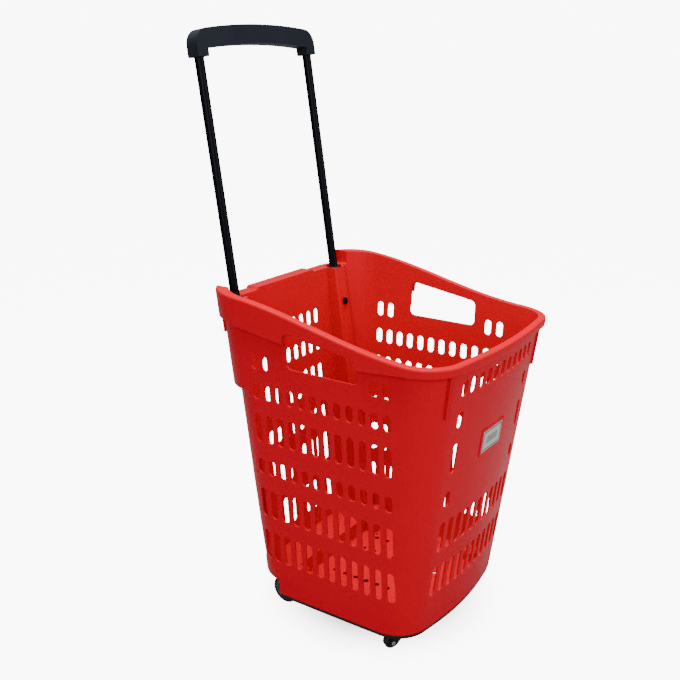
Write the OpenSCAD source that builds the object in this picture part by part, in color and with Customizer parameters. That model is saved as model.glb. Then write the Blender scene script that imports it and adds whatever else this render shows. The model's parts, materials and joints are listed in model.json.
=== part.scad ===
// Rolling basket trolley: a swept-rim plastic tub on two rear wheels and two small
// swivel casters, with a two-rod pull handle that slides up out of the rear corners.
// Frame: Z up from the floor, the front of the basket faces -Y, the handle is at +Y.

/* [Tub] */
// Outside width of the tub at its base
base_w = 315; // [290:1:340]
// Distance from the middle of the trolley to the front wall at the base
base_front = 173; // [165:1:185]
// Distance from the middle of the trolley to the rear wall at the base
base_rear = 134.5; // [130:0.5:140]
// Height of the underside of the tub above the floor
tub_z = 34; // [34:1:36]
// Thickness of the moulded walls
wall = 3; // [2.5:0.5:4]
// Outward lean of the side walls in degrees
side_draft = 3.54; // [3:0.01:4]
// Outward lean of the front wall in degrees
front_draft = 6.77; // [6:0.01:7.5]
// Outward lean of the rear wall in degrees
rear_draft = 4.86; // [4.5:0.01:5.2]
// Outward bow of the front wall at its middle
front_bow = 9.5; // [7:0.5:11]
// Radius of the two front corners
front_r = 56; // [48:1:60]
// Radius of the two rear corners
rear_r = 67; // [60:1:70]

/* [Rim] */
// Height of the rim at the rear
rim_rear_z = 551; // [545:1:553]
// Height of the rim at the front
rim_front_z = 493; // [485:1:500]
// How far the rim stands out from the walls
rim_out = 10; // [8:1:11]
// Height of the ledge where the handle comes out
ledge_z = 527; // [524:1:530]

/* [Slots] */
// Distance from one slot to the next
slot_pitch = 21.6; // [21:0.1:22]
// Width of each slot
slot_w = 12; // [9:0.5:13]
// Drain hole diameter in the floor
drain_d = 9; // [6:1:12]

/* [Handle] */
// Outside diameter of the two handle rods
rod_d = 15; // [14:0.5:16]
// Distance from the middle to each rod
rod_x = 136; // [135:0.5:137]
// Place of the rods at the height of the ledge
rod_y = 171.5; // [170:0.5:172]
// Backward lean of the rods in degrees
lean = 8.73; // [8.5:0.01:9]
// Height of the grip blocks above the ledge, along the rods, fully extended
reach = 369; // [350:1:373]

/* [Running gear] */
// Diameter of the rear wheels
wheel_d = 50; // [46:1:52]
// Width of the rear wheels
wheel_w = 18; // [16:1:19]
// Distance from the middle to each rear wheel centre
wheel_x = 121; // [120:0.5:122]
// Place of the rear axle
axle_y = 88.5; // [88:0.5:89]
// Diameter of the rear axle
axle_d = 8; // [7:0.5:9]
// Diameter of the caster wheels
caster_d = 24; // [22:1:24]
// Distance from the middle to each caster
caster_x = 125; // [123:1:126]
// Place of the caster pins
caster_y = -131; // [-134:1:-130]
// Trail of each caster wheel behind its pin
trail = 11; // [9:0.5:11]
// Outward turn of each caster, as it stands, from trailing straight back
caster_turn = 60; // [0:5:60]

/* [Hidden] */
$fn = 48;
e = 0.01;
run_fit = 0.15;
top_z = 560;
floor_z = tub_z + wall;
shelf_y = 78;
shelf_z = 62;
step_z = 394;
step_out = 14;
step_gap_w = 210;
step_gap_top = 480;
rim_back = 11;
slot_mid = [448, 398, 336, 268, 202.5, 123.5];
slot_len = [26, 26, 48, 26, 51, 52];
side_cols = 12;
front_cols = 11;
rear_cols = 8;
side_mid_y = -21;
bush_len = 60;
foot_len = 28;
tube_od = 21;
tube_id = 18.2;
tube_end = 460;
grip_half = 148;
grip_top = 48;
grip_leg = 124;
grip_thick = 29.5;
grip_depth = 22;
pad_mid_z = 335;
pad_size = [72, 45];
label_size = [63, 36, 0.6];
boss_x = [120, 152];
screw_at = [[-100, 50], [100, 50], [-135, -60], [135, -60], [-60, -150], [60, -150]];
drain_at = [for (x = [-90:45:90]) for (y = [-105:42:21]) [x, y]];

// ---- shape of the tub ----

function half_w(z) = base_w / 2 + (z - tub_z) * tan(side_draft);
function front_at(z) = -base_front - (z - tub_z) * tan(front_draft);
function rear_at(z) = base_rear + (z - tub_z) * tan(rear_draft);

// Plan of the tub at one height, grown by g all round and moved back by b at the rear
module plan(z, g, b) {
    w = half_w(z) + g;
    f = front_at(z) - g;
    r = rear_at(z) + g + b;
    rf = front_r + g;
    rr = rear_r + g;
    flat = w - rf;
    for (s = [-1, 1]) {
        translate([s * (w - rf), f + rf]) circle(rf);
        translate([s * (w - rr), r - rr]) circle(rr);
    }
    polygon(concat(
        [for (i = [-8:8]) [flat * i / 8, f - front_bow * (1 - pow(i / 8, 2))]],
        [[flat, f + rf], [-flat, f + rf]]
    ));
}

// Tapered block of the tub, from its base to above the rim
module taper(g = 0, b = 0) {
    hull() {
        translate([0, 0, tub_z]) linear_extrude(e) plan(tub_z, g, b);
        translate([0, 0, top_z]) linear_extrude(e) plan(top_z, g, b);
    }
}

// Draws a (y, z) outline as a prism right across the tub
module across(x0 = -250, x1 = 250) {
    translate([x0, 0, 0]) rotate([90, 0, 90]) linear_extrude(x1 - x0) children();
}

// Rim height: level at the rear, then a smooth sweep down to the low front
function rim_at(y) =
    let (t = min(1, max(0, (173 - y) / 385)))
    rim_front_z + (rim_rear_z - rim_front_z) * (1 + cos(180 * t)) / 2;

module rim_line(drop) {
    polygon(concat(
        [for (y = [-280:14:280]) [y, rim_at(y) - drop]],
        [[280, 620], [-280, 620]]
    ));
}

// Lower edge of the skirt that hangs from the rim
module skirt_line() {
    polygon([[-280, 479], [-170, 478], [-96, 472], [32, 487], [150, 506], [280, 508],
             [280, 620], [-280, 620]]);
}

module along_rods(x = rod_x) {
    translate([x, rod_y, ledge_z]) rotate([-lean, 0, 0]) children();
}

// ---- pieces taken out of the tub ----

module slot(mid, len) {
    translate([-slot_w / 2, mid - len / 2 + slot_w / 2]) square([slot_w, len - slot_w]);
    translate([0, mid - len / 2 + slot_w / 2]) circle(d = slot_w);
    translate([0, mid + len / 2 - slot_w / 2]) circle(d = slot_w);
}

module slot_row(row, cols) {
    for (c = cols) translate([c * slot_pitch, 0]) slot(slot_mid[row], slot_len[row]);
}

module side_slots() {
    reach_c = (side_cols - 1) / 2;
    translate([side_mid_y, 0]) {
        slot_row(0, [-reach_c, 1 - reach_c, reach_c - 1, reach_c]);
        for (row = [1:5]) slot_row(row, [-reach_c:reach_c]);
    }
}

module front_slots() {
    edge = (front_cols - 1) / 2;
    for (row = [0, 4, 5]) slot_row(row, [-edge:edge]);
    for (row = [1, 2, 3]) slot_row(row, [-edge, edge]);
}

module rear_slots() {
    edge = (rear_cols - 1) / 2;
    for (row = [0:5]) slot_row(row, [-edge:edge]);
}

module hand_hold() {
    polygon([[-92, 453], [-86, 447], [29, 447], [35, 453], [34, 500], [26, 506],
             [-82, 490], [-91, 482]]);
}

// Inside of the tub, with the floor, wheel wells, pin domes and rod housings left standing
module cavity() {
    difference() {
        taper(-wall);
        translate([-250, -300, 0]) cube([500, 600, floor_z]);
        translate([-250, shelf_y - wall, 0]) cube([500, 200, shelf_z + wall]);
        for (s = [-1, 1]) {
            translate([s * wheel_x - 18.5, 55, 0]) cube([37, 60, shelf_z + wall]);
            translate([s * caster_x, caster_y, 0]) cylinder(h = 55, d = 30);
        }
        for (s = [-1, 1])
            translate([s > 0 ? boss_x[0] : -boss_x[1], 0, 0])
                along_rods(0) translate([0, -14.5, -500])
                    cube([boss_x[1] - boss_x[0], 90, 500]);
    }
}

// Hollow behind each rod housing, open to the rear below the nesting step
module rod_recess() {
    for (s = [-1, 1]) {
        translate([s > 0 ? boss_x[0] + wall : -boss_x[1] + wall, 0, 0])
            along_rods(0) translate([0, -11.5, 12 - tube_end])
                cube([boss_x[1] - boss_x[0] - 2 * wall, 100, tube_end - 152]);
        along_rods(s * rod_x) {
            translate([0, 0, -tube_end]) cylinder(h = tube_end + 40, d = tube_od + 0.1);
            translate([0, 0, -4]) cylinder(h = 40, d = 27);
        }
    }
}

module ad_pad() {
    translate([0, front_at(pad_mid_z) - front_bow - 0.8, pad_mid_z])
        rotate([front_draft, 0, 0])
            translate([-pad_size[0] / 2, 0, -pad_size[1] / 2])
                cube([pad_size[0], 9, pad_size[1]]);
}

module label_place() {
    translate([0, front_at(pad_mid_z) - front_bow - 0.8, pad_mid_z])
        rotate([front_draft, 0, 0])
            translate([-label_size[0] / 2, 0, -label_size[1] / 2]) children();
}

// Rim: a flat top with a thin skirt hanging outside the wall
module rim() {
    difference() {
        intersection() {
            taper(rim_out, rim_back);
            across() skirt_line();
        }
        difference() {
            intersection() {
                taper(rim_out - wall, rim_back);
                across() difference() {
                    translate([-280, 0]) square([560, 600]);
                    rim_line(4);
                    translate([130, ledge_z - 4]) square([200, 100]);
                }
            }
            across() translate([-98, 440]) square([139, 140]);
        }
    }
}

// Outer shell round the rear corners that lets tubs nest, open behind the rear slots
module nesting_step() {
    difference() {
        intersection() {
            difference() {
                taper(0, step_out);
                taper(-wall, step_out);
            }
            translate([-250, 60, step_z]) cube([500, 200, 130]);
        }
        translate([-step_gap_w / 2, 150, 0]) cube([step_gap_w, 100, step_gap_top]);
    }
}

// Upright rib between two heights, as far out as the leaning wall plus its depth
module rib(r, depth, low, high, slope) {
    rotate([90, 0, 0]) translate([0, 0, -1.5]) linear_extrude(3) polygon([
        [r - 12, low], [r + depth + slope * low, low],
        [r + depth + slope * high, high], [r - 12, high]
    ]);
}

// Upright ribs that stiffen the rim at the four corners
module corner_ribs() {
    for (s = [-1, 1]) {
        translate([s * (half_w(450) - front_r), front_at(450) + front_r, 450])
            rotate([0, 0, s > 0 ? -68 : -112]) rib(front_r, 4, -39, 36, 0.133);
        translate([s * (half_w(490) - rear_r), rear_at(490) - rear_r + step_out, 490])
            rotate([0, 0, s > 0 ? 48 : 132]) rib(rear_r, 4, -12, 23, 0.1);
    }
}

module basket_tub() {
    color("red")
    difference() {
        union() {
            taper();
            nesting_step();
            rim();
            corner_ribs();
            ad_pad();
        }
        cavity();
        across() rim_line(0);
        translate([-162, 148, ledge_z + 4]) cube([324, 100, 60]);
        for (x = [-162, 75]) translate([x, 148, ledge_z]) cube([87, 100, 60]);
        translate([-250, shelf_y, 0]) cube([500, 200, shelf_z]);
        for (s = [-1, 1]) {
            translate([s * wheel_x - 15.5, 58, 0]) cube([31, 40, shelf_z]);
            translate([s * caster_x, caster_y, 0]) cylinder(h = 52, d = 24);
        }
        rod_recess();
        across(150.5) side_slots();
        across(-250, -150.5) side_slots();
        across() hand_hold();
        translate([0, -120, 0]) rotate([90, 0, 0]) linear_extrude(180) front_slots();
        translate([0, 260, 0]) rotate([90, 0, 0]) linear_extrude(150) rear_slots();
        for (p = drain_at) translate([p[0], p[1], 0]) cylinder(h = 50, d = drain_d);
        for (p = screw_at) translate([p[0], p[1], 0]) cylinder(h = 50, d = 5.1);
        for (s = [-1, 1]) along_rods(s * rod_x)
            translate([0, -10, -65]) rotate([90, 0, 0]) cylinder(h = 30, d = 6.1);
        label_place() cube([label_size[0], label_size[2], label_size[1]]);
    }
}

module front_label() {
    color("gainsboro")
    label_place() translate([0.2, 0, 0.2])
        cube([label_size[0] - 0.4, label_size[2] - 0.05, label_size[1] - 0.4]);
}

// ---- base frame and its fixings ----

module base_outline() {
    intersection() {
        hull() plan(tub_z, -2, 0);
        translate([-200, -250]) square([400, 250 + shelf_y - 2]);
    }
}

module base_frame() {
    color("dimgray")
    difference() {
        union() {
            translate([0, 0, 29]) linear_extrude(tub_z - 29 - 0.05) base_outline();
            for (s = [-1, 1]) translate([s * caster_x, caster_y, 29])
                cylinder(h = 17, d = 20);
            translate([-100, shelf_y + 0.3, 14]) cube([200, 22, shelf_z - 14.2]);
            translate([-100, 60, 29]) cube([200, 20, 4.9]);
        }
        translate([-96, shelf_y + 4.3, 0]) cube([192, 14, shelf_z - 4]);
        for (s = [-1, 1]) {
            translate([s * wheel_x - 15.5, 58, 0]) cube([31, 40, 50]);
            translate([s * 43 - 35, -110, 0]) cube([70, 66, 50]);
            translate([s * 43 - 35, -30, 0]) cube([70, 66, 50]);
            translate([s * caster_x, caster_y, 0]) cylinder(h = 60, d = 11.05);
        }
        for (p = screw_at) translate([p[0], p[1], 0]) cylinder(h = 50, d = 5.1);
        translate([-150, axle_y, wheel_d / 2]) rotate([0, 90, 0])
            cylinder(h = 300, d = axle_d + 0.04);
    }
}

module base_screws() {
    color("silver")
    for (p = screw_at) translate([p[0], p[1], 0]) {
        translate([0, 0, 26]) cylinder(h = 2.95, d = 10);
        translate([0, 0, 28]) cylinder(h = 12, d = 5);
    }
}

// ---- handle guides ----

module guide_tube(s) {
    color("gray")
    along_rods(s * rod_x) difference() {
        translate([0, 0, 0.3 - tube_end]) cylinder(h = tube_end - 4.5, d = tube_od);
        translate([0, 0, -tube_end]) cylinder(h = tube_end + 10, d = tube_id);
        translate([0, 0, -65]) rotate([90, 0, 0]) cylinder(h = 30, d = 6.1);
    }
}

module top_bush(s) {
    color("black")
    along_rods(s * rod_x) difference() {
        union() {
            translate([0, 0, -3.9]) cylinder(h = 3.9, d = 26.8);
            translate([0, 0, -bush_len]) cylinder(h = bush_len, d = tube_id - 0.05);
        }
        translate([0, 0, -bush_len - 5]) cylinder(h = bush_len + 10, d = rod_d + run_fit);
    }
}

module guide_screws() {
    color("black")
    for (s = [-1, 1]) along_rods(s * rod_x) translate([0, 0, -65]) {
        translate([0, -14.6, 0]) rotate([90, 0, 0]) cylinder(h = 3.4, d = 12);
        translate([0, -9.4, 0]) rotate([90, 0, 0]) cylinder(h = 6, d = 6);
    }
}

// ---- sliding handle ----

// Outline of the arched grip, seen from the front, measured up from its lower edge
module grip_outline() {
    arch_r = 1200;
    end_x = grip_half - 26;
    end_z = grip_top - arch_r + sqrt(pow(arch_r - 26, 2) - pow(end_x, 2));
    flat_x = end_x * arch_r / (arch_r - 26);
    difference() {
        intersection() {
            translate([-grip_half, 0]) square([2 * grip_half, grip_top]);
            translate([0, grip_top - arch_r]) circle(arch_r, $fn = 360);
            union() {
                for (s = [-1, 1]) translate([s * end_x, end_z]) circle(26);
                translate([-flat_x, -50]) square([2 * flat_x, 200]);
                translate([-grip_half, -50]) square([2 * grip_half, 50 + end_z]);
            }
        }
        intersection() {
            translate([-grip_leg, -20]) square([2 * grip_leg, 100]);
            translate([0, grip_top - grip_thick - arch_r]) circle(arch_r, $fn = 360);
        }
    }
}

module handle_grip() {
    color("darkslategray")
    difference() {
        along_rods(0) translate([0, grip_depth / 2, reach]) rotate([90, 0, 0])
            linear_extrude(grip_depth) grip_outline();
        for (s = [-1, 1]) along_rods(s * rod_x) {
            translate([0, 0, reach - 5]) cylinder(h = 33, d = rod_d + 0.04);
            translate([0, 4, reach + 13]) rotate([-90, 0, 0]) cylinder(h = 12, d = 4.1);
        }
    }
}

module grip_screws() {
    color("black")
    for (s = [-1, 1]) along_rods(s * rod_x) translate([0, 0, reach + 13]) {
        translate([0, grip_depth / 2 + 0.02, 0]) rotate([-90, 0, 0]) cylinder(h = 2, d = 8);
        translate([0, 6.5, 0]) rotate([-90, 0, 0]) cylinder(h = 6, d = 4);
    }
}

module handle_rod(s) {
    color("black")
    along_rods(s * rod_x) difference() {
        translate([0, 0, -bush_len - 1]) cylinder(h = reach + bush_len + 28, d = rod_d);
        translate([0, 0, -bush_len - 5]) cylinder(h = reach + bush_len + 40, d = 12.4);
        translate([0, 4, reach + 13]) rotate([-90, 0, 0]) cylinder(h = 12, d = 4.1);
    }
}

module rod_foot(s) {
    color("white")
    along_rods(s * rod_x) union() {
        translate([0, 0, -bush_len - 1.05 - foot_len]) cylinder(h = foot_len, d = tube_id - run_fit);
        translate([0, 0, -bush_len - 10]) cylinder(h = 24, d = 12.36);
    }
}

// ---- rear wheels ----

module turned(x, y, z) {
    translate([x, y, z]) rotate([0, 90, 0]) children();
}

module rear_axle() {
    color("silver")
    turned(-132.8, axle_y, wheel_d / 2) cylinder(h = 265.6, d = axle_d);
}

module axle_caps() {
    color("silver")
    for (s = [-1, 1]) turned(s * 132.9 - 1.9, axle_y, wheel_d / 2) difference() {
        cylinder(h = 3.8, d = 15);
        translate([0, 0, s > 0 ? -1 : 1.9]) cylinder(h = 3, d = axle_d + 0.04);
    }
}

module rear_hub(s) {
    color("slategray")
    turned(s * wheel_x, axle_y, wheel_d / 2) difference() {
        union() {
            rotate_extrude() polygon([
                [0, -wheel_w / 2], [10, -wheel_w / 2], [10, -4], [15, -4], [15, -wheel_w / 2 + 1],
                [19, -wheel_w / 2 + 1], [19, wheel_w / 2 - 1], [15, wheel_w / 2 - 1],
                [15, 4], [10, 4], [10, wheel_w / 2], [0, wheel_w / 2]
            ]);
            translate([0, 0, s > 0 ? -20.2 : 8]) cylinder(h = 12.2, d = 13);
        }
        translate([0, 0, -40]) cylinder(h = 80, d = axle_d + run_fit);
    }
}

module rear_tyre(s) {
    color("black")
    turned(s * wheel_x, axle_y, wheel_d / 2) rotate_extrude() polygon([
        [19, -wheel_w / 2], [22, -wheel_w / 2], [wheel_d / 2 - 0.8, -wheel_w / 2 + 1.5],
        [wheel_d / 2, -wheel_w / 2 + 4], [wheel_d / 2, wheel_w / 2 - 4],
        [wheel_d / 2 - 0.8, wheel_w / 2 - 1.5], [22, wheel_w / 2], [19, wheel_w / 2]
    ]);
}

// ---- front casters ----

module at_caster(s) {
    translate([s * caster_x, caster_y, 0]) rotate([0, 0, -s * caster_turn]) children();
}

module caster_bush(s) {
    color("gray")
    at_caster(s) translate([0, 0, 29]) difference() {
        cylinder(h = 17, d = 11);
        translate([0, 0, -1]) cylinder(h = 19, d = 7.15);
    }
}

module caster_pin(s) {
    color("silver")
    at_caster(s) difference() {
        translate([0, 0, 25.2]) cylinder(h = 24.3, d = 7);
        translate([0, 0, 46.8]) difference() {
            cylinder(h = 1.2, d = 9);
            translate([0, 0, -1]) cylinder(h = 4, d = 5.6);
        }
    }
}

module pin_clip(s) {
    color("silver")
    at_caster(s) translate([0, 0, 46.85]) difference() {
        cylinder(h = 1.1, d = 12);
        translate([0, 0, -1]) cylinder(h = 4, d = 5.64);
        translate([-1.5, 0, -1]) cube([3, 10, 4]);
    }
}

module caster_fork(s) {
    color("black")
    at_caster(s) difference() {
        union() {
            translate([0, 0, 25]) cylinder(h = 3.2, d = 25);
            for (x = [-9.5, 7.2]) translate([x, 0, 0]) rotate([90, 0, 90]) linear_extrude(2.3)
                polygon([[-8, 28.2], [-8, 22], [4, 8], [8, 5.5], [14, 5.5], [17, 8.5],
                         [17, 14], [8, 25], [8, 28.2]]);
        }
        translate([0, 0, 20]) cylinder(h = 10, d = 7.04);
        turned(-20, trail, caster_d / 2) cylinder(h = 40, d = 4.04);
    }
}

// Hollow rivet that the caster wheel turns on
module caster_axle(s) {
    color("silver")
    at_caster(s) turned(0, trail, caster_d / 2) difference() {
        union() {
            translate([0, 0, -9.6]) cylinder(h = 19.2, d = 4);
            for (z = [-10.4, 9.6]) translate([0, 0, z]) cylinder(h = 0.8, d = 6.5);
        }
        for (z = [-11, 6]) translate([0, 0, z]) cylinder(h = 5, d = 2.6);
    }
}

module caster_wheel(s) {
    color("dimgray")
    at_caster(s) turned(0, trail, caster_d / 2) rotate_extrude() polygon([
        [(4 + run_fit) / 2, -6.7], [4.5, -6.7], [4.5, -5.6], [caster_d / 2 - 2, -6.2],
        [caster_d / 2, -4.2], [caster_d / 2, 4.2], [caster_d / 2 - 2, 6.2], [4.5, 5.6],
        [4.5, 6.7], [(4 + run_fit) / 2, 6.7]
    ]);
}

basket_tub();
base_frame();
base_screws();
front_label();
guide_tube(-1);  // guide_tube_left
guide_tube(1);  // guide_tube_right
top_bush(-1);  // top_bush_left
top_bush(1);  // top_bush_right
guide_screws();
handle_grip();
grip_screws();
handle_rod(-1);  // handle_rod_left
handle_rod(1);  // handle_rod_right
rod_foot(-1);  // rod_foot_left
rod_foot(1);  // rod_foot_right
rear_axle();
axle_caps();
rear_hub(-1);  // rear_hub_left
rear_hub(1);  // rear_hub_right
rear_tyre(-1);  // rear_tyre_left
rear_tyre(1);  // rear_tyre_right
caster_bush(-1);  // caster_bush_left
caster_bush(1);  // caster_bush_right
caster_pin(-1);  // caster_pin_left
caster_pin(1);  // caster_pin_right
pin_clip(-1);  // pin_clip_left
pin_clip(1);  // pin_clip_right
caster_fork(-1);  // caster_fork_left
caster_fork(1);  // caster_fork_right
caster_axle(-1);  // caster_axle_left
caster_axle(1);  // caster_axle_right
caster_wheel(-1);  // caster_wheel_left
caster_wheel(1);  // caster_wheel_right
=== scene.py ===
import json
import math

import bmesh
import bpy
from mathutils import Matrix, Vector


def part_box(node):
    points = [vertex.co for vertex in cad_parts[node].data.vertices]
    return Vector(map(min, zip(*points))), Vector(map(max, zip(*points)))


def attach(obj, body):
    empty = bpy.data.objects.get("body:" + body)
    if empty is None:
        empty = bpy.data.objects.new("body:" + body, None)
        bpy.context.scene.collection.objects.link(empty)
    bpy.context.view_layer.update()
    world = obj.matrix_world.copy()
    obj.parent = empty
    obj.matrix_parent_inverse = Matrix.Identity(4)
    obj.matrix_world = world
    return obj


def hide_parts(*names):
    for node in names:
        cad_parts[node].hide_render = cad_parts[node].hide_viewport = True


# Rolling basket trolley. Lengths are in millimetres until mesh_object() turns them
# into metres. Z is up, the front of the basket faces -Y and the handle is at +Y.

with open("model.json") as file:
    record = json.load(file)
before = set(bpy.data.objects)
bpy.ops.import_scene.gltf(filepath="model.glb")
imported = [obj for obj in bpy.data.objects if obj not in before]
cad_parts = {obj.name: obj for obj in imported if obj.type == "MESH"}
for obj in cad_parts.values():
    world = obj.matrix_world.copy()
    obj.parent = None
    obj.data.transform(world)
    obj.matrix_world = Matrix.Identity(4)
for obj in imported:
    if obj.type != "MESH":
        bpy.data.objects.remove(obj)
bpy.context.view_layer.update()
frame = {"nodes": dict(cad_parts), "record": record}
MM = 0.001

tub_low, tub_high = (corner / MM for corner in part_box("basket_tub"))
tyre_low, tyre_high = (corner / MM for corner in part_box("rear_tyre_right"))
rod_low, rod_high = (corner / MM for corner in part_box("handle_rod_right"))
pin_low, pin_high = (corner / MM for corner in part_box("caster_pin_right"))

# ---- shape of the tub, as the frame has it ----
TUB_Z = tub_low.z
RIM_REAR = tub_high.z
BASE_HALF, BASE_FRONT, BASE_REAR = 157.5, 173.0, 134.5
SIDE_TAN = math.tan(math.radians(3.54))
FRONT_TAN = math.tan(math.radians(6.77))
REAR_TAN = math.tan(math.radians(4.86))
WALL, BOW, FRONT_R, REAR_R = 3.0, 9.5, 56.0, 67.0
RIM_FRONT, RIM_OUT, RIM_BACK, LEDGE = 493.0, 10.0, 11.0, 527.0
FLOOR_Z = TUB_Z + WALL
SHELF_Y, SHELF_Z, STEP_Z, STEP_OUT = 78.0, 62.0, 394.0, 14.0
STEP_GAP_HALF, STEP_GAP_TOP = 105.0, 480.0
PITCH, SLOT_W = 21.6, 12.0
SIDE_COLS, FRONT_COLS, REAR_COLS = 12, 11, 8
ROWS = [(448, 26), (398, 26), (336, 48), (268, 26), (202.5, 51), (123.5, 52)]
SIDE_MID = -21.0
SKIRT = [(-280, 479), (-170, 478), (-96, 472), (32, 487), (150, 506), (280, 508)]
HOLD = [(-92, 447), (35, 447), (33.9, 507.2), (-90.8, 488.7)]
ROD_X = (rod_low.x + rod_high.x) / 2
ROD_Y, LEAN, REACH = 171.5, math.radians(8.73), 369.0
WHEEL_X = (tyre_low.x + tyre_high.x) / 2
WHEEL_Y = (tyre_low.y + tyre_high.y) / 2
WHEEL_R = (tyre_high.z - tyre_low.z) / 2
PIN_X, PIN_Y = (pin_low.x + pin_high.x) / 2, (pin_low.y + pin_high.y) / 2
CASTER_TURN = math.radians(60)
HOUSING_HALF, HOUSING_DEPTH = 16.0, 14.5
PAD_Z, PAD_W, PAD_H, PAD_RISE = 335.0, 72.0, 45.0, 0.8
LABEL_W, LABEL_H = 63.0, 36.0
NOTCH_HALF, BRIDGE_HALF, BRIDGE_RISE = 162.0, 75.0, 4.0
WELL_HALF, WELL_FRONT, WELL_BACK = 15.5, 58.0, 98.0
DOME_R, DOME_BORE, DOME_TOP = 15.0, 12.0, 18.0
DRAIN_R = 4.5
GRIP_DEPTH = 22.0
EDGE = 0.9
AWAY = 240.0


# ---- mesh helpers ----

def mesh_object(name, verts, faces):
    """A linked object from points in millimetres, with its normals outward."""
    mesh = bpy.data.meshes.new(name)
    mesh.from_pydata([Vector(v) * MM for v in verts], [], faces)
    work = bmesh.new()
    work.from_mesh(mesh)
    bmesh.ops.recalc_face_normals(work, faces=work.faces)
    work.to_mesh(mesh)
    work.free()
    obj = bpy.data.objects.new(name, mesh)
    bpy.context.scene.collection.objects.link(obj)
    return obj


def combine(base, other, how):
    """Joins or cuts base with other, and keeps only the result."""
    cut = base.modifiers.new("cut", "BOOLEAN")
    cut.operation, cut.object, cut.solver = how, other, "MANIFOLD"
    graph = bpy.context.evaluated_depsgraph_get()
    mesh = bpy.data.meshes.new_from_object(base.evaluated_get(graph))
    base.modifiers.clear()
    base.data = mesh
    bpy.data.objects.remove(other)
    return base


def smooth(mesh, angle=38):
    """Shades a mesh smooth, apart from its edges sharper than angle."""
    mesh.polygons.foreach_set("use_smooth", [True] * len(mesh.polygons))
    mesh.set_sharp_from_angle(angle=math.radians(angle))


def soften(obj, width, segments=3, angle=35):
    """Rounds the edges of a piece."""
    smooth(obj.data)
    edge = obj.modifiers.new("edge", "BEVEL")
    edge.width, edge.segments = width * MM, segments
    edge.limit_method, edge.angle_limit = "ANGLE", math.radians(angle)
    edge.harden_normals = True
    return obj


def rounded(corners, radius, grow=0.0, steps=6):
    """Points round a convex outline, anticlockwise, with rounded corners, grown by grow."""
    points = []
    count = len(corners)
    for i in range(count):
        before = Vector(corners[i - 1])
        here = Vector(corners[i])
        after = Vector(corners[(i + 1) % count])
        into, out = (here - before).normalized(), (after - here).normalized()
        n_in = Vector((into.y, -into.x))
        turn = into.angle_signed(out) * -1
        reach = radius * math.tan(abs(turn) / 2)
        centre = here - into * reach - n_in * radius
        start = math.atan2(n_in.y, n_in.x)
        for k in range(steps + 1):
            a = start + turn * k / steps
            points.append(centre + Vector((math.cos(a), math.sin(a))) * (radius + grow))
    return points


def box_corners(width, height):
    """Corners of a rectangle about the origin, anticlockwise."""
    w, h = width / 2, height / 2
    return [(-w, -h), (w, -h), (w, h), (-w, h)]


def levels(outer, inner, edge=EDGE, extra=7.0, steps=4):
    """Depths and growths of an opening through a wall, with both its edges rounded."""
    rows = [(outer + extra, edge)]
    arc = [math.pi / 2 * k / steps for k in range(steps + 1)]
    rows += [(outer - edge + edge * math.cos(a), edge - edge * math.sin(a)) for a in arc]
    rows += [(inner + edge - edge * math.cos(a), edge - edge * math.sin(a)) for a in arc[::-1]]
    rows.append((inner - extra, edge))
    return rows


class Cutters:
    """Many separate opening cutters gathered into one mesh."""

    def __init__(self):
        self.verts, self.faces = [], []

    def add(self, outline, rows, place):
        """Adds one opening: its outline at each (depth, growth), put where place says."""
        first = len(self.verts)
        rings = [[place(p.x, p.y, depth) for p in outline(grow)] for depth, grow in rows]
        n = len(rings[0])
        for ring in rings:
            self.verts += ring
        for r in range(len(rings) - 1):
            for i in range(n):
                a, b = first + r * n + i, first + r * n + (i + 1) % n
                self.faces.append((a, b, b + n, a + n))
        self.faces.append(tuple(range(first, first + n)))
        last = first + (len(rings) - 1) * n
        self.faces.append(tuple(range(last, last + n)))

    def cut(self, base):
        return combine(base, mesh_object("openings", self.verts, self.faces), "DIFFERENCE")


def block(low, high, matrix=Matrix.Identity(4), radius=0.0, segments=3):
    """A box between two corners with rounded edges, moved by matrix."""
    work = bmesh.new()
    bmesh.ops.create_cube(work, size=1.0)
    size, middle = Vector(high) - Vector(low), (Vector(high) + Vector(low)) / 2
    for v in work.verts:
        v.co = Vector((v.co.x * size.x, v.co.y * size.y, v.co.z * size.z)) + middle
    if radius:
        bmesh.ops.bevel(work, geom=list(work.edges), offset=radius, segments=segments,
                        profile=0.5, affect="EDGES")
    verts = [matrix @ v.co for v in work.verts]
    work.verts.index_update()
    faces = [tuple(v.index for v in f.verts) for f in work.faces]
    work.free()
    return mesh_object("block", verts, faces)


def rod_space(x=0.0):
    """Frame of a rod: its own axis up from the ledge."""
    return Matrix.Translation((x, ROD_Y, LEDGE)) @ Matrix.Rotation(-LEAN, 4, "X")


def lathe(name, profile, centre, turns=72, matrix=None):
    """A closed profile of (radius, distance along) turned about the X axis at centre."""
    verts, faces = [], []
    n = len(profile)
    for t in range(turns):
        a = 2 * math.pi * t / turns
        for radius, along in profile:
            p = Vector((along, radius * math.cos(a), radius * math.sin(a)))
            verts.append((matrix @ p if matrix else p) + Vector(centre))
    for t in range(turns):
        for i in range(n):
            a, b = t * n + i, t * n + (i + 1) % n
            c = (t + 1) % turns * n
            faces.append((a, b, c + (i + 1) % n, c + i))
    return mesh_object(name, verts, faces)


# ---- tub surfaces ----

def half_w(z):
    """Half the width of the tub at one height."""
    return BASE_HALF + (z - TUB_Z) * SIDE_TAN


def front_at(z):
    """Y of the middle of the front wall at one height, but for its bow."""
    return -BASE_FRONT - (z - TUB_Z) * FRONT_TAN


def rear_at(z):
    """Y of the rear wall at one height."""
    return BASE_REAR + (z - TUB_Z) * REAR_TAN


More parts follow.
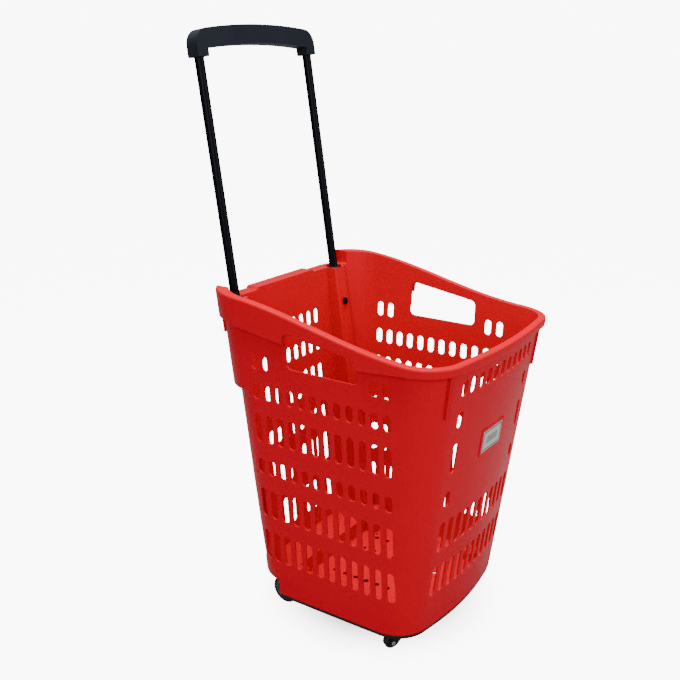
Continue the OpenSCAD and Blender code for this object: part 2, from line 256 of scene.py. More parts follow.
def rim_at(y):
    """Height of the rim, which sweeps from the rear down to the front in half a wave."""
    sweep_from, sweep_length = 173, 385
    t = min(1, max(0, (sweep_from - y) / sweep_length))
    return RIM_FRONT + (RIM_REAR - RIM_FRONT) * (1 + math.cos(math.pi * t)) / 2


def skirt_at(y):
    """Height of the lower edge of the skirt under the rim."""
    for (y0, z0), (y1, z1) in zip(SKIRT, SKIRT[1:]):
        if y <= y1:
            break
    return z0 + (z1 - z0) * (y - y0) / (y1 - y0)


FRONT_STEPS, ARC_STEPS, SIDE_STEPS, BACK_STEPS = 12, 18, 26, 6
HALF_STATIONS = (
    [("front", i / FRONT_STEPS) for i in range(FRONT_STEPS + 1)]
    + [("front_arc", i / ARC_STEPS) for i in range(ARC_STEPS + 1)]
    + [("side", i / SIDE_STEPS) for i in range(1, SIDE_STEPS)]
    + [("rear_arc", i / ARC_STEPS) for i in range(ARC_STEPS + 1)]
    + [("back", i / BACK_STEPS) for i in range(1, BACK_STEPS + 1)]
)
STATIONS = [(kind, t, 1) for kind, t in HALF_STATIONS] + [
    (kind, t, -1) for kind, t in HALF_STATIONS[-2:0:-1]]


def plan_point(station, z, grow, back=0.0):
    """Point on the outline of the tub at one height, grown by grow, its rear moved back."""
    kind, t, side = station
    w, f, r = half_w(z) + grow, front_at(z) - grow, rear_at(z) + grow + back
    rf, rr = FRONT_R + grow, REAR_R + grow
    flat = w - rf
    bow_end = 1 / (1 + math.sqrt(2 * rf * BOW) / flat)
    start = math.atan(2 * BOW * bow_end / flat)
    if kind == "front":
        x = flat * bow_end * t
        y = f - BOW * (1 - (x / flat) ** 2)
    elif kind == "front_arc":
        a = start + (math.pi / 2 - start) * t
        x, y = flat + rf * math.sin(a), f + rf - rf * math.cos(a)
    elif kind == "side":
        x, y = w, (f + rf) * (1 - t) + (r - rr) * t
    elif kind == "rear_arc":
        a = math.pi / 2 * t
        x, y = w - rr + rr * math.cos(a), r - rr + rr * math.sin(a)
    else:
        x, y = (w - rr) * (1 - t), r
    return x * side, y


def placed(station, height, grow, back=0.0):
    """The same, where the height depends on the distance from front to back."""
    z = 500.0
    for _ in range(4):
        x, y = plan_point(station, z, grow, back)
        z = height(y)
    return x, y, z


def front_y(x, z):
    """Front wall of the tub at one place."""
    flat = half_w(z) - FRONT_R
    bow_end = flat / (1 + math.sqrt(2 * FRONT_R * BOW) / flat)
    slope = 2 * BOW * bow_end / flat ** 2
    x, f = abs(x), front_at(z)
    arc_from = flat + FRONT_R * math.sin(math.atan(slope))
    if x <= bow_end:
        return f - BOW * (1 - (x / flat) ** 2)
    if x <= arc_from:
        return f - BOW * (1 - (bow_end / flat) ** 2) + slope * (x - bow_end)
    return f + FRONT_R - math.sqrt(max(0, FRONT_R ** 2 - (x - flat) ** 2))


def under_rim(y):
    """Underside of the top of the rim, which stays below the ledge at the rear."""
    top, rear_from = 4, 130
    return min(rim_at(y), LEDGE) - top if y > rear_from else rim_at(y) - top


def tub_profile():
    """Rows of (height rule, growth, back) from the middle of the base round to the floor."""
    rows = []
    quarter = [math.pi / 2 * k / 5 for k in range(6)]
    base_r, lip, crown, inner_lip, floor_r = 3.0, 1.4, 4.2, 1.6, 4.0
    for a in quarter:
        z, g = TUB_Z + base_r - base_r * math.cos(a), -base_r + base_r * math.sin(a)
        rows.append((lambda y, z=z: z, g, 0))
    for z in (80, 130, 180, 230, 280, 330, 380, 425, 460):
        rows.append((lambda y, z=z: z, 0, 0))
    rows.append((under_rim, 0, 0))
    thin = RIM_OUT - WALL
    rows.append((under_rim, thin, RIM_BACK))
    for a in quarter[::-1]:
        rows.append((lambda y, d=lip - lip * math.sin(math.pi / 2 - a): skirt_at(y) + d,
                     thin + lip - lip * math.sin(a), RIM_BACK))
    for a in quarter:
        rows.append((lambda y, d=lip - lip * math.cos(a): skirt_at(y) + d,
                     RIM_OUT - lip + lip * math.sin(a), RIM_BACK))
    for a in quarter:
        rows.append((lambda y, d=crown - crown * math.sin(a): rim_at(y) - d,
                     RIM_OUT - crown + crown * math.cos(a), RIM_BACK))
    for a in quarter:
        rows.append((lambda y, d=inner_lip - inner_lip * math.cos(a): rim_at(y) - d,
                     inner_lip - WALL - inner_lip * math.sin(a), 0))
    for z in (460, 425, 380, 330, 280, 230, 180, 130, 80):
        rows.append((lambda y, z=z: z, -WALL, 0))
    for a in quarter:
        z = FLOOR_Z + floor_r - floor_r * math.sin(a)
        rows.append((lambda y, z=z: z, -WALL - floor_r + floor_r * math.cos(a), 0))
    return rows


def sweep(rows, stations, closed):
    """Skin over rows of the outline; a closed sweep is capped by its first and last rows."""
    verts, faces = [], []
    n = len(stations)
    for height, grow, back in rows:
        verts += [placed(s, height, grow, back) for s in stations]
    count = len(rows)
    for r in range(count - 1 if closed else count):
        top = (r + 1) % count * n
        for i in range(n if closed else n - 1):
            j = (i + 1) % n
            faces.append((r * n + i, r * n + j, top + j, top + i))
    if closed:
        faces.append(tuple(range(n)))
        faces.append(tuple(range((count - 1) * n, count * n)))
    else:
        faces.append(tuple(r * n for r in range(count)))
        faces.append(tuple(r * n + n - 1 for r in range(count)))
    return mesh_object("sweep", verts, faces)


def nesting_step():
    """Shell round the rear corners above the step, open behind the rear slots."""
    rear = [s for s in HALF_STATIONS if s[0] in ("rear_arc", "back")]
    stations = [("side", 0.86, 1)] + [(k, t, 1) for k, t in rear] + [
        (k, t, -1) for k, t in rear[-2::-1]] + [("side", 0.86, -1)]
    lip = 1.2
    quarter = [math.pi / 2 * k / 4 for k in range(5)]
    rows = [(lambda y: LEDGE - 3, -WALL + 0.03, STEP_OUT)]
    for a in quarter[::-1]:
        z = STEP_Z + lip - lip * math.cos(a)
        rows.append((lambda y, z=z: z, -WALL + lip - lip * math.sin(a), STEP_OUT))
    for a in quarter:
        z = STEP_Z + lip - lip * math.cos(a)
        rows.append((lambda y, z=z: z, -lip + lip * math.sin(a) - 0.03, STEP_OUT))
    rows.append((lambda y: LEDGE - 3, -0.03, STEP_OUT))
    shell = sweep(rows, stations, False)
    gap = block((-STEP_GAP_HALF, 150, 350), (STEP_GAP_HALF, 250, STEP_GAP_TOP), radius=6.0)
    return combine(shell, gap, "DIFFERENCE")


def hold_fill(side):
    """Solid rim over one hand hold."""
    ys = [-98, -75, -50, -25, 0, 20, 41]
    verts, faces = [], []
    for y in ys:
        low, high = skirt_at(y) + 0.4, rim_at(y) - 2
        for z, g in ((low, -1), (low, RIM_OUT - 1.2), (high, RIM_OUT - 1.2), (high, -1)):
            verts.append((side * (half_w(z) + g), y, z))
    for k in range(len(ys) - 1):
        for i in range(4):
            j = (i + 1) % 4
            faces.append((4 * k + i, 4 * k + j, 4 * k + 4 + j, 4 * k + 4 + i))
    faces += [(0, 1, 2, 3), tuple(4 * len(ys) - 4 + i for i in range(4))]
    return mesh_object("fill", verts, faces)


def shelf_block():
    """Raised floor over the rear axle, inside the walls."""
    verts = []
    n = len(STATIONS)
    for z in (TUB_Z + 1, SHELF_Z + WALL):
        for s in STATIONS:
            x, y = plan_point(s, z, -WALL / 2)
            verts.append((x, max(y, SHELF_Y - WALL), z))
    faces = [(i, (i + 1) % n, n + (i + 1) % n, n + i) for i in range(n)]
    faces += [tuple(range(n)), tuple(range(n, 2 * n))]
    obj = mesh_object("shelf", verts, faces)
    work = bmesh.new()
    work.from_mesh(obj.data)
    bmesh.ops.remove_doubles(work, verts=work.verts, dist=1e-6)
    bmesh.ops.dissolve_degenerate(work, edges=work.edges, dist=1e-6)
    bmesh.ops.recalc_face_normals(work, faces=work.faces)
    work.to_mesh(obj.data)
    work.free()
    return obj


def inner_back(x, z):
    """Middle of the thickness of the rear wall, round its corners too."""
    radius = REAR_R - WALL / 2
    centre = half_w(z) - REAR_R
    past = max(0, abs(x) - centre)
    return rear_at(z) - REAR_R + math.sqrt(radius ** 2 - past ** 2)


def housing(x):
    """Hollow column in a rear corner that a rod slides in, back to the leaning wall."""
    half, corner, steps, cuts, back_points = HOUSING_HALF, 3.0, 4, 10, 8
    verts = []
    for level in range(cuts + 1):
        z = SHELF_Z + 1 + (LEDGE - SHELF_Z - 1.6) * level / cuts
        front = ROD_Y - HOUSING_DEPTH / math.cos(LEAN) - (LEDGE - z) * math.tan(LEAN)
        loop = []
        for k in range(back_points + 1):
            px = x + half - 2 * half * k / back_points
            loop.append((px, inner_back(px, z)))
        for k in range(steps + 1):
            a = math.pi / 2 * k / steps
            loop.append((x - half + corner - corner * math.cos(a),
                         front + corner - corner * math.sin(a)))
        for k in range(steps + 1):
            a = math.pi / 2 * k / steps
            loop.append((x + half - corner + corner * math.sin(a),
                         front + corner - corner * math.cos(a)))
        n = len(loop)
        verts += [(px, py, z) for px, py in loop]
    faces = [tuple(range(n)), tuple(range(n * cuts, n * cuts + n))]
    faces += [(r * n + i, r * n + (i + 1) % n, (r + 1) * n + (i + 1) % n, (r + 1) * n + i)
              for r in range(cuts) for i in range(n)]
    return mesh_object("housing", verts, faces)


def rib(radius, depth, low, high, slope, where):
    """Upright stiffener that starts within the leaning wall and stands out by depth."""
    root, half = WALL / 2, 1.5
    outline = [(radius - root + slope * low, low), (radius + depth + slope * low, low),
               (radius + depth + slope * high, high), (radius - root + slope * high, high)]
    verts = [where @ Vector((r, t, z)) for t in (-half, half) for r, z in outline]
    faces = [(0, 1, 2, 3), (4, 5, 6, 7)] + [(i, (i + 1) % 4, 4 + (i + 1) % 4, 4 + i)
                                          for i in range(4)]
    return mesh_object("rib", verts, faces)


def place_side(side):
    """Places a cutter on a side wall: along it, up it, and out of it."""
    c, s = math.cos(math.atan(SIDE_TAN)), math.sin(math.atan(SIDE_TAN))
    return lambda u, v, t: (side * (half_w(v) + t * c), u, v - t * s)


def place_front(u0):
    """The same on the bowed front wall, for an opening centred on u0."""
    near = 3

    def place(u, v, t):
        slope = (front_y(u0 + near, v) - front_y(u0 - near, v)) / (2 * near)
        n = Vector((slope, -1, -FRONT_TAN)).normalized()
        return Vector((u, front_y(u, v), v)) + n * t
    return place


def place_rear(u, v, t):
    """The same on the rear wall."""
    n = Vector((0, 1, -REAR_TAN)).normalized()
    return Vector((u, rear_at(v), v)) + n * t


def slot_outline(u0, mid, length):
    """Outline of one upright slot with round ends."""
    corners = [(u0 + x, mid + y) for x, y in box_corners(SLOT_W, length)]
    return lambda grow: rounded(corners, SLOT_W / 2 - 0.01, grow, 7)


def columns(count):
    """Places of a centred row of columns, in pitches from its middle."""
    return [k - (count - 1) / 2 for k in range(count)]


def slot_cutters():
    """Every slot. The hand holds leave the top side row four, and the label leaves the
    front rows beside it one slot at each end."""
    cutters = Cutters()
    side_cols, front_cols = columns(SIDE_COLS), columns(FRONT_COLS)
    held_cols = side_cols[:2] + side_cols[-2:]
    full_front_rows = (0, 4, 5)
    for row, (mid, length) in enumerate(ROWS):
        for side in (-1, 1):
            for c in held_cols if row == 0 else side_cols:
                cutters.add(slot_outline(SIDE_MID + c * PITCH, mid, length),
                            levels(0, -WALL), place_side(side))
        for c in front_cols if row in full_front_rows else (front_cols[0], front_cols[-1]):
            cutters.add(slot_outline(c * PITCH, mid, length),
                        levels(0, -WALL, extra=5.0), place_front(c * PITCH))
        for c in columns(REAR_COLS):
            cutters.add(slot_outline(c * PITCH, mid, length), levels(0, -WALL), place_rear)
    return cutters


def small_cutters():
    """Drain holes in the floor and the hand holds."""
    cutters = Cutters()
    drain = [(DRAIN_R * math.cos(a * math.pi / 8), DRAIN_R * math.sin(a * math.pi / 8))
             for a in range(16)]
    for x in range(-90, 91, 45):
        for y in range(-105, 43, 21):
            def ring(grow, x=x, y=y):
                size = 1 + grow / DRAIN_R
                return [Vector((x + px * size, y + py * size)) for px, py in drain]
            cutters.add(ring, levels(0, -WALL, 0.5, 2.0), lambda u, v, t: (u, v, FLOOR_Z + t))
    for side in (-1, 1):
        cutters.add(lambda grow: rounded(HOLD, 9, grow, 10),
                    levels(RIM_OUT, -WALL, 1.5), place_side(side))
    return cutters


def hold_lip_cutters():
    """Rounds the lower lip of each hand hold, where it's cut in the wall alone."""
    cutters = Cutters()
    lip = 1.3
    low = [(-92, 447), (35, 447), (35, 470), (-91.4, 470)]
    arc = [math.pi / 2 * k / 4 for k in range(5)]
    rows = [(6, lip)] + [(-lip + lip * math.cos(a), lip - lip * math.sin(a)) for a in arc]
    for side in (-1, 1):
        cutters.add(lambda grow: rounded(low, 8.9, grow, 8), rows, place_side(side))
    return cutters


def bevel_where(obj, test, width, segments=3):
    """Rounds the sharp edges of a joined mesh whose middle passes the test."""
    work = bmesh.new()
    work.from_mesh(obj.data)
    chosen = [
        e for e in work.edges
        if len(e.link_faces) == 2 and e.calc_face_angle(0) > math.radians(50)
        and test((e.verts[0].co + e.verts[1].co) / 2 / MM)
    ]
    bmesh.ops.bevel(work, geom=chosen, offset=width * MM, segments=segments, profile=0.5,
                    affect="EDGES", clamp_overlap=True)
    work.to_mesh(obj.data)
    work.free()


def rod_bore(profile, x, up=0.0):
    """A cutter turned about the axis of the rod at x, from up along it."""
    bore = lathe("bore", profile, (0, 0, 0), 48, Matrix.Rotation(-math.pi / 2, 3, "Y"))
    bore.data.transform(Matrix.Scale(MM, 4) @ rod_space(x) @ Matrix.Translation((0, 0, up))
                        @ Matrix.Scale(1 / MM, 4))
    return bore


def corner_ribs(tub):
    """Upright ribs under the rim at the four corners."""
    depth = 4.0
    for radius, low, high, spin, slope, centre_y, z in (
        (FRONT_R, -39, 36, -68, 0.133, front_at(450) + FRONT_R, 450),
        (REAR_R, -12, 23, 48, 0.10, rear_at(490) - REAR_R + STEP_OUT, 490),
    ):
        for side in (-1, 1):
            turn = math.radians(spin if side > 0 else 180 - spin)
            where = Matrix.Translation((side * (half_w(z) - radius), centre_y, z))
            where = where @ Matrix.Rotation(turn, 4, "Z")
            combine(tub, rib(radius, depth, low, high, slope, where), "UNION")


def caster_dome(side):
    """Hollow dome in the floor over the end of one kingpin."""
    wall, shoulder = WALL, 14.4
    profile = [(DOME_BORE, TUB_Z + 1 - FLOOR_Z), (DOME_R, TUB_Z + 1 - FLOOR_Z), (DOME_R, 14),
               (shoulder, 16), (13, 17.4), (11, DOME_TOP), (2, DOME_TOP),
               (2, DOME_TOP - wall), (DOME_BORE, DOME_TOP - wall)]
    return lathe("dome", profile, (side * PIN_X, PIN_Y, FLOOR_Z), 40,
                 Matrix.Rotation(-math.pi / 2, 3, "Y"))


def cut_handle_notch(tub):
    """Lowers the rear rim between the rods, but for its raised middle."""
    end, foot, top = NOTCH_HALF, NOTCH_HALF - 3, 600
    ramp = BRIDGE_HALF + 3
    right_half = [(BRIDGE_HALF, LEDGE + BRIDGE_RISE), (ramp, LEDGE), (foot, LEDGE),
                  (end - 1, LEDGE + 1), (end, LEDGE + 3), (end, top)]
    outline = [(-x, z) for x, z in right_half[::-1]] + right_half
    notch = Cutters()
    notch.add(lambda grow: [Vector(p) for p in outline], [(148, 0), (250, 0)],
              lambda u, v, t: (u, t, v))
    notch.cut(tub)
    bevel_where(tub, lambda p: p.y > 150 and abs(abs(p.x) - end) < 0.3 and p.z > LEDGE + 4, 1.6)
    bevel_where(tub, lambda p: p.y > 160 and abs(p.x) < end - 4 and p.z > LEDGE - 0.5, 1.2)


def build_tub():
    """The tub: its skin, what is added inside it, and then everything cut from it."""
    tub = sweep(tub_profile(), STATIONS, True)
    tub.name = "tub_shell"
    for extra in (nesting_step(), hold_fill(-1), hold_fill(1), shelf_block()):
        combine(tub, extra, "UNION")
    for side in (-1, 1):
        combine(tub, housing(side * ROD_X), "UNION")
        outer = WELL_HALF + WALL
        combine(tub, block((side * WHEEL_X - outer, WELL_FRONT - WALL, TUB_Z + 1),
                           (side * WHEEL_X + outer, 90, SHELF_Z + WALL), radius=2.0), "UNION")
        combine(tub, caster_dome(side), "UNION")
    corner_ribs(tub)
    pad_at = Matrix.Translation((0, front_at(PAD_Z) - BOW - PAD_RISE, PAD_Z)) @ Matrix.Rotation(
        math.atan(FRONT_TAN), 4, "X")
    combine(tub, block((-PAD_W / 2, 0, -PAD_H / 2), (PAD_W / 2, 6, PAD_H / 2), pad_at, 0.7), "UNION")

    cut_handle_notch(tub)
    # Under the shelf, the wheel wells and the hollow housings
    combine(tub, block((-AWAY, SHELF_Y, 0), (AWAY, AWAY, SHELF_Z)), "DIFFERENCE")
    for side in (-1, 1):
        x = side * WHEEL_X
        combine(tub, block((x - WELL_HALF, WELL_FRONT, 0), (x + WELL_HALF, WELL_BACK, SHELF_Z)),
                "DIFFERENCE")
        inner = HOUSING_HALF - WALL
        combine(tub, block((side * ROD_X - inner, WALL - HOUSING_DEPTH, -448),
                           (side * ROD_X + inner, 88, -140), rod_space()), "DIFFERENCE")
        tube_r, bush_r, bush_z = 10.6, 13.5, -4
        bore = rod_bore([(0.01, -470), (tube_r, -470), (tube_r, bush_z), (bush_r, bush_z),
                         (bush_r, 30), (0.01, 30)], side * ROD_X)
        combine(tub, bore, "DIFFERENCE")
    small_cutters().cut(tub)
    hold_lip_cutters().cut(tub)
    slot_cutters().cut(tub)
    recess = block((-LABEL_W / 2, -5, -LABEL_H / 2), (LABEL_W / 2, 0.6, LABEL_H / 2), pad_at)
    combine(tub, recess, "DIFFERENCE")
    smooth(tub.data, 42)
    even = tub.modifiers.new("even", "WEIGHTED_NORMAL")
    even.keep_sharp, even.weight = True, 60
    return tub


# ---- handle grip ----

def build_grip():
    """Arched bar with a block at each end that the rods go into."""
    half, top, corner, arch, thick, leg = 148.0, 48.0, 26.0, 1200.0, 29.5, 124.0
    reach = arch - corner
    corner_x = half - corner
    corner_z = top - arch + math.sqrt(reach ** 2 - corner_x ** 2)
    turn = math.asin(corner_x / reach)
    outline = []
    for k in range(33):
        a = -turn + 2 * turn * k / 32
        outline.append((arch * math.sin(a), top - arch + arch * math.cos(a)))
    for k in range(1, 11):
        a = turn + (math.pi / 2 - turn) * k / 10
        outline.append((corner_x + corner * math.sin(a), corner_z + corner * math.cos(a)))
    outline += [(half, 0.0), (leg, 0.0)]
    for k in range(25):
        x = leg - 2 * leg * k / 24
        outline.append((x, top - thick - arch + math.sqrt(arch ** 2 - x ** 2)))
    outline += [(-leg, 0.0), (-half, 0.0)]
    for k in range(10):
        a = turn + (math.pi / 2 - turn) * (10 - k) / 10
        outline.append((-corner_x - corner * math.sin(a), corner_z + corner * math.cos(a)))
    at = rod_space() @ Matrix.Translation((0, 0, REACH))
    n = len(outline)
    verts = [at @ Vector((x, y, z)) for y in (-GRIP_DEPTH / 2, GRIP_DEPTH / 2) for x, z in outline]
    faces = [tuple(range(n)), tuple(range(n, 2 * n))]
    faces += [(i, (i + 1) % n, n + (i + 1) % n, n + i) for i in range(n)]
    grip = mesh_object("pull_grip", verts, faces)
    for side in (-1, 1):
        bore = rod_bore([(0.01, -5), (7.52, -5), (7.52, 28), (0.01, 28)], side * ROD_X, REACH)
        combine(grip, bore, "DIFFERENCE")
    soften(grip, 4.0, 5, 50)
    return grip


# ---- wheels ----

def build_tyre(side):
    """Rear tyre with a groove round its tread."""
    w, r = 9.0, WHEEL_R
    profile = [(19, -w), (21.5, -w), (r - 0.7, -w + 1.6), (r, -w + 3.8), (r, -1.0),
               (r - 0.7, -0.5), (r - 0.7, 0.5), (r, 1.0), (r, w - 3.8), (r - 0.7, w - 1.6),
               (21.5, w), (19, w)]
    tyre = lathe("tyre", profile, (side * WHEEL_X, WHEEL_Y, WHEEL_R), 96)
    return soften(tyre, 0.5, 2, 25)


def build_caster_wheel(side):
    """Small roller with a boss on each face, turned with its caster."""
    low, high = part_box("caster_wheel_right" if side > 0 else "caster_wheel_left")
    centre, r = (low + high) / 2 / MM, (high.z - low.z) / 2 / MM
    profile = [(2.08, -6.7), (4.5, -6.7), (4.5, -5.4), (6.0, -5.0), (7.5, -5.4), (r - 2, -6.1),
               (r, -4.2), (r, 4.2), (r - 2, 6.1), (7.5, 5.4), (6.0, 5.0), (4.5, 5.4),
               (4.5, 6.7), (2.08, 6.7)]
    turn = Matrix.Rotation(-side * CASTER_TURN, 3, "Z")
    wheel = lathe("caster_roller", profile, centre, 64, turn)
    return soften(wheel, 0.35, 2, 25)


# ---- materials ----

def finish_material(name, base, rough, grain=0.0, grain_scale=900.0, shade=0.10, metal=0.0,
                    coat=0.0, patch=14.0, shine=0.5):
    """Moulded or coated surface: slow colour drift, uneven gloss and a fine grain."""
    mat = bpy.data.materials.new(name)
    mat.use_nodes = True
    nodes, links = mat.node_tree.nodes, mat.node_tree.links
    shader = nodes["Principled BSDF"]
    place = nodes.new("ShaderNodeTexCoord")
    drift = nodes.new("ShaderNodeTexNoise")
    drift.inputs["Scale"].default_value = patch
    drift.inputs["Detail"].default_value = 4.0
    links.new(place.outputs["Object"], drift.inputs["Vector"])
    tint = nodes.new("ShaderNodeMix")
    tint.data_type = "RGBA"
    tint.inputs["A"].default_value = [c * (1 - shade) for c in base] + [1]
    tint.inputs["B"].default_value = [min(1, c * (1 + shade)) for c in base] + [1]
    links.new(drift.outputs["Fac"], tint.inputs["Factor"])
    links.new(tint.outputs["Result"], shader.inputs["Base Color"])
    gloss = nodes.new("ShaderNodeMapRange")
    gloss.inputs["From Min"].default_value = 0.3
    gloss.inputs["From Max"].default_value = 0.7
    gloss.inputs["To Min"].default_value = rough * 0.88
    gloss.inputs["To Max"].default_value = rough * 1.14
    links.new(drift.outputs["Fac"], gloss.inputs["Value"])
    links.new(gloss.outputs["Result"], shader.inputs["Roughness"])
    if grain:
        fine = nodes.new("ShaderNodeTexNoise")
        fine.inputs["Scale"].default_value = grain_scale
        fine.inputs["Detail"].default_value = 2.0
        links.new(place.outputs["Object"], fine.inputs["Vector"])
        bump = nodes.new("ShaderNodeBump")
        bump.inputs["Strength"].default_value = grain
        bump.inputs["Distance"].default_value = 0.0003
        links.new(fine.outputs["Fac"], bump.inputs["Height"])
        links.new(bump.outputs["Normal"], shader.inputs["Normal"])
    shader.inputs["Metallic"].default_value = metal
    shader.inputs["Specular IOR Level"].default_value = shine
    shader.inputs["Coat Weight"].default_value = coat
    shader.inputs["Coat Roughness"].default_value = 0.12
    return mat


def label_material():
    """White card with a grey line inside its edge and a generic row of bars."""
    mat = finish_material("label_card", (0.42, 0.42, 0.38), 0.35, shade=0.03)
    nodes, links = mat.node_tree.nodes, mat.node_tree.links
    shader = nodes["Principled BSDF"]

    def maths(operation, first, second=None):
        node = nodes.new("ShaderNodeMath")
        node.operation = operation
        for socket, value in zip(node.inputs, (first, second)):
            if isinstance(value, (int, float)):
                socket.default_value = value
            elif value is not None:
                links.new(value, socket)
        return node.outputs[0]

    place = nodes.new("ShaderNodeTexCoord")
    split = nodes.new("ShaderNodeSeparateXYZ")
    links.new(place.outputs["Generated"], split.inputs["Vector"])
    across = maths("ABSOLUTE", maths("SUBTRACT", split.outputs["X"], 0.5))
    upright = maths("ABSOLUTE", maths("SUBTRACT", split.outputs["Z"], 0.5))
    outside = maths("MAXIMUM", maths("GREATER_THAN", across, 0.44),
                    maths("GREATER_THAN", upright, 0.40))
    line = maths("MULTIPLY", outside,
                 maths("MULTIPLY", maths("LESS_THAN", across, 0.475),
                       maths("LESS_THAN", upright, 0.46)))
    wave = maths("SINE", maths("MULTIPLY", split.outputs["X"], 70.0))
    inside = maths("MULTIPLY", maths("LESS_THAN", across, 0.30),
                   maths("LESS_THAN", upright, 0.17))
    bars = maths("MULTIPLY", inside, maths("GREATER_THAN", wave, -0.2))
    mix = nodes.new("ShaderNodeMix")
    mix.data_type = "RGBA"
    links.new(shader.inputs["Base Color"].links[0].from_socket, mix.inputs["A"])
    mix.inputs["B"].default_value = (0.008, 0.008, 0.008, 1)
    links.new(maths("MAXIMUM", line, bars), mix.inputs["Factor"])
    links.new(mix.outputs["Result"], shader.inputs["Base Color"])
    return mat


FINISHES = {
    "red_plastic": finish_material("red_plastic", (0.50, 0.0, 0.010), 0.24, 0.012, 140, 0.04,
                                   shine=0.035),
    "black_plastic": finish_material("black_plastic", (0.004, 0.004, 0.005), 0.45, 0.3,
                                     shine=0.2),
    "grip_plastic": finish_material("grip_plastic", (0.006, 0.008, 0.013), 0.42, 0.35, 1100,
                                    shine=0.2),
    "grey_plastic": finish_material("grey_plastic", (0.05, 0.05, 0.053), 0.45, 0.2),
    "white_plastic": finish_material("white_plastic", (0.6, 0.6, 0.58), 0.4, 0.15),
    "black_steel": finish_material("black_steel", (0.0012, 0.0015, 0.003), 0.33, 0.10, 500,
                                   shine=0.06),
    "zinc_steel": finish_material("zinc_steel", (0.55, 0.56, 0.58), 0.32, 0.1, 400, metal=1.0),
    "black_rubber": finish_material("black_rubber", (0.008, 0.008, 0.008), 0.68, 0.5, 600,
                                    shine=0.3),
    "label_card": label_material(),
}
NODE_SLOT = {row["node"]: row["material_slot"] for row in frame["record"]["subparts"]}


def dress(obj, name):
    """Gives a piece one finish."""
    obj.data.materials.clear()
    obj.data.materials.append(FINISHES[name])


def stand_in(obj, node, body):
    """Shows obj in place of one CAD node, on that node's body."""
    dress(obj, NODE_SLOT[node])
    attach(obj, body)
    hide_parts(node)


stand_in(build_tub(), "basket_tub", "basket")
stand_in(build_grip(), "handle_grip", "handle")
for side, word in ((-1, "left"), (1, "right")):
    tyre = build_tyre(side)
    tyre.name = "tyre_" + word
    stand_in(tyre, "rear_tyre_" + word, "rear_wheel_" + word)
    roller = build_caster_wheel(side)
    roller.name = "caster_roller_piece_" + word
    stand_in(roller, "caster_wheel_" + word, "caster_roller_" + word)

# Edge rounding of the CAD nodes that are shown as they are
SMALL = 0.25
ROUNDING = {"base_frame": 0.8, "top_bush_left": 0.6, "top_bush_right": 0.6,
            "caster_fork_left": 0.5, "caster_fork_right": 0.5}
for node, obj in frame["nodes"].items():
    if not obj.hide_render:
        dress(obj, NODE_SLOT[node])
        soften(obj, ROUNDING.get(node, SMALL), 2, 40)

# ---- floor, light and camera ----

def seen_white(tree, shader, output, strength, clear=None):
    """Adds an even white that only the camera sees, so that the studio fades out.
    Over an oval of the floor, (middle, half size) in metres, the white fades out, which paints a
    soft shadow there on top of the real shade that falls under the piece."""
    glow = tree.nodes.new("ShaderNodeEmission")
    path = tree.nodes.new("ShaderNodeLightPath")
    power = tree.nodes.new("ShaderNodeMath")
    power.operation = "MULTIPLY"
    power.inputs[1].default_value = strength
    tree.links.new(path.outputs["Is Camera Ray"], power.inputs[0])
    tree.links.new(power.outputs[0], glow.inputs["Strength"])
    # Painted shadow: inside the oval the white fades away, so the floor shows darker under the
    # piece, as well as the real shade there.
    if clear:
        middle, half = clear
        spot = tree.nodes.new("ShaderNodeTexCoord")
        scaled = tree.nodes.new("ShaderNodeMapping")
        scaled.vector_type = "TEXTURE"
        scaled.inputs["Location"].default_value = (*middle, 0)
        scaled.inputs["Scale"].default_value = (*half, 1)
        length = tree.nodes.new("ShaderNodeVectorMath")
        length.operation = "LENGTH"
        fade = tree.nodes.new("ShaderNodeMapRange")
        fade.interpolation_type = "SMOOTHSTEP"
        fade.inputs["From Min"].default_value = 0.6
        fade.inputs["From Max"].default_value = 1.7
        within = tree.nodes.new("ShaderNodeMath")
        within.operation = "MULTIPLY"
        tree.links.new(spot.outputs["Object"], scaled.inputs["Vector"])
        tree.links.new(scaled.outputs["Vector"], length.inputs[0])
        tree.links.new(length.outputs["Value"], fade.inputs["Value"])
        tree.links.new(power.outputs[0], within.inputs[0])
        tree.links.new(fade.outputs["Result"], within.inputs[1])
        tree.links.new(within.outputs[0], glow.inputs["Strength"])
    total = tree.nodes.new("ShaderNodeAddShader")
    tree.links.new(shader, total.inputs[0])
    tree.links.new(glow.outputs[0], total.inputs[1])
    tree.links.new(total.outputs[0], output)


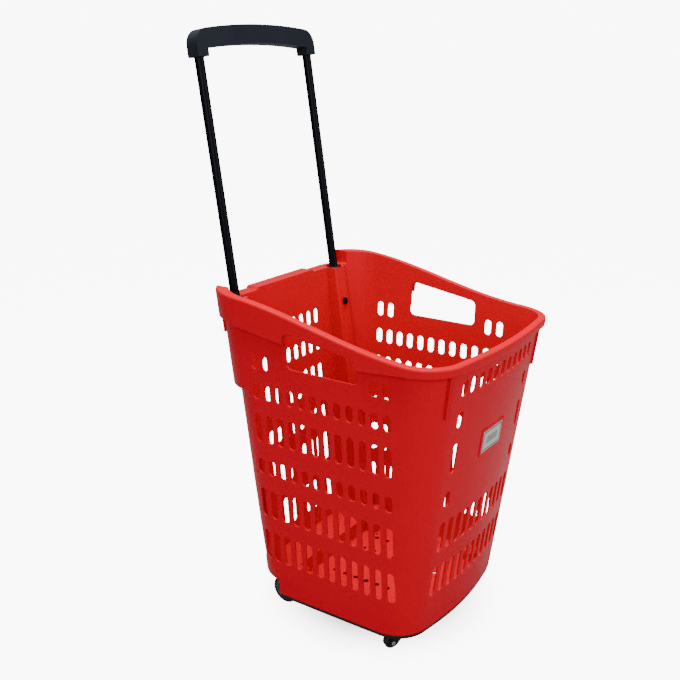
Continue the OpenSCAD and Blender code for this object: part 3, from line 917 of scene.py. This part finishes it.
FLOOR_HALF, WHITE = 60000.0, 9.0
floor = mesh_object("floor", [(-FLOOR_HALF, -FLOOR_HALF, 0), (FLOOR_HALF, -FLOOR_HALF, 0),
                              (FLOOR_HALF, FLOOR_HALF, 0), (-FLOOR_HALF, FLOOR_HALF, 0)],
                    [(0, 1, 2, 3)])
pale = finish_material("floor_pale", (0.38, 0.38, 0.38), 0.8, shade=0.01, shine=0.1)
# The glow fades out in a soft oval under the basket, a painted shadow over the real one.
seen_white(pale.node_tree, pale.node_tree.nodes["Principled BSDF"].outputs[0],
           pale.node_tree.nodes["Material Output"].inputs["Surface"], WHITE,
           ((0.0, -0.02), (0.13, 0.13)))
floor.data.materials.append(pale)

world = bpy.data.worlds.new("studio")
world.use_nodes = True
world_nodes = world.node_tree.nodes
world_nodes["Background"].inputs["Color"].default_value = (1, 1, 1, 1)
world_nodes["Background"].inputs["Strength"].default_value = 0.22
seen_white(world.node_tree, world_nodes["Background"].outputs[0],
           world_nodes["World Output"].inputs["Surface"], WHITE)
bpy.context.scene.world = world


def soft_light(name, place, target, size, power):
    """A square area light that faces target, in metres and watts."""
    data = bpy.data.lights.new(name, "AREA")
    data.shape, data.size, data.energy = "SQUARE", size, power
    obj = bpy.data.objects.new(name, data)
    obj.location = place
    obj.rotation_euler = (Vector(target) - Vector(place)).to_track_quat("-Z", "Y").to_euler()
    bpy.context.scene.collection.objects.link(obj)


MIDDLE = (0, 0, 0.35)
soft_light("top", (-0.1, 0.1, 2.4), MIDDLE, 1.6, 118)
soft_light("key", (-2.2, -1.0, 1.4), MIDDLE, 1.6, 44)
soft_light("front", (0.4, -2.4, 1.2), MIDDLE, 1.4, 32)

# The camera stands to the left of the front and looks down on the tub
camera_data = bpy.data.cameras.new("camera")
camera_data.sensor_width = 36.0
camera_data.lens = 50.19
camera = bpy.data.objects.new("camera", camera_data)
azimuth, drop = math.radians(-55.558), math.radians(17.394)
right = Vector((math.cos(azimuth), math.sin(azimuth), 0))
back = Vector((math.sin(azimuth) * math.cos(drop), -math.cos(azimuth) * math.cos(drop),
               math.sin(drop)))
up = back.cross(right)
turned = Matrix((right, up, back)).transposed().to_4x4()
camera.matrix_world = Matrix.Translation((-1.2418, -0.7878, 0.9119)) @ turned
bpy.context.scene.collection.objects.link(camera)
bpy.context.scene.camera = camera
